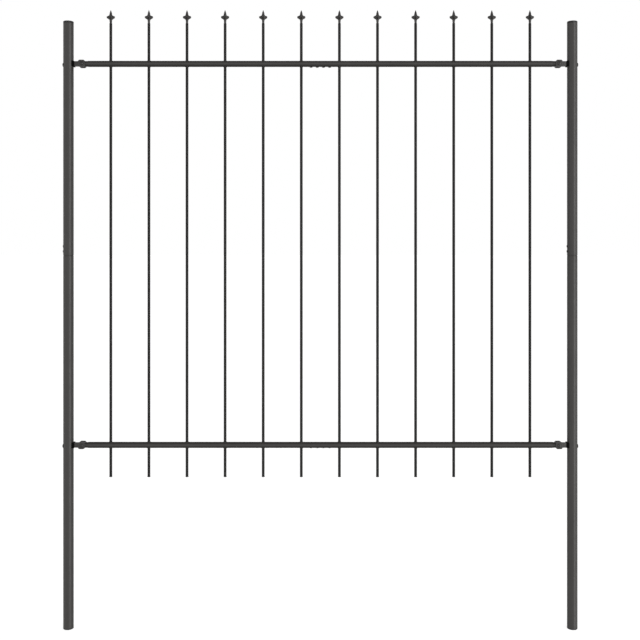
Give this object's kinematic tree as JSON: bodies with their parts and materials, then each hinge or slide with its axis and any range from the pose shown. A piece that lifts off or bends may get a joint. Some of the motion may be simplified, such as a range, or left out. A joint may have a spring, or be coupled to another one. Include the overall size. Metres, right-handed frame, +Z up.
{
  "type": "steel garden fence panel",
  "caption": "Open steel garden fence panel: tube pickets with spear points on two round rails, hung by swivel brackets between two round tube posts with plastic caps.",
  "frame": {"origin": "middle of the flat foot of the left post, at the bottom of its foot plug", "axes": "+X along the fence from the left post to the right post, +Y to the back of the fence, +Z up the posts"},
  "size_m": [1.7045, 0.0336, 2.044],
  "materials": {
    "coated_steel": "satin black powder coat over galvanised steel tube",
    "coated_casting": "satin black powder coat over a small casting",
    "coated_fastener": "black coated steel bolt",
    "bare_steel": "plain galvanised steel tube, out of sight",
    "black_plastic": "moulded black plastic, fine grain"
  },
  "bodies": {
    "root": {"left_post_lower": "coated_steel", "left_post_upper": "coated_steel", "left_half_panel": "coated_steel", "left_saddles": "black_plastic", "left_eyes": "coated_casting", "left_forks": "coated_casting", "left_pivot_pins": "coated_fastener", "left_post_bolts": "coated_fastener", "right_post_lower": "coated_steel", "right_post_upper": "coated_steel", "right_half_panel": "coated_steel", "right_saddles": "black_plastic", "right_eyes": "coated_casting", "right_forks": "coated_casting", "right_pivot_pins": "coated_fastener", "right_post_bolts": "coated_fastener", "post_caps": "black_plastic", "post_foot_plugs": "black_plastic", "rail_sleeves": "bare_steel", "picket_foot_plugs": "black_plastic", "spear_point_01": "coated_casting", "spear_point_02": "coated_casting", "spear_point_03": "coated_casting", "spear_point_04": "coated_casting", "spear_point_05": "coated_casting", "spear_point_06": "coated_casting", "spear_point_07": "coated_casting", "spear_point_08": "coated_casting", "spear_point_09": "coated_casting", "spear_point_10": "coated_casting", "spear_point_11": "coated_casting", "spear_point_12": "coated_casting"}
  },
  "joints": []
}
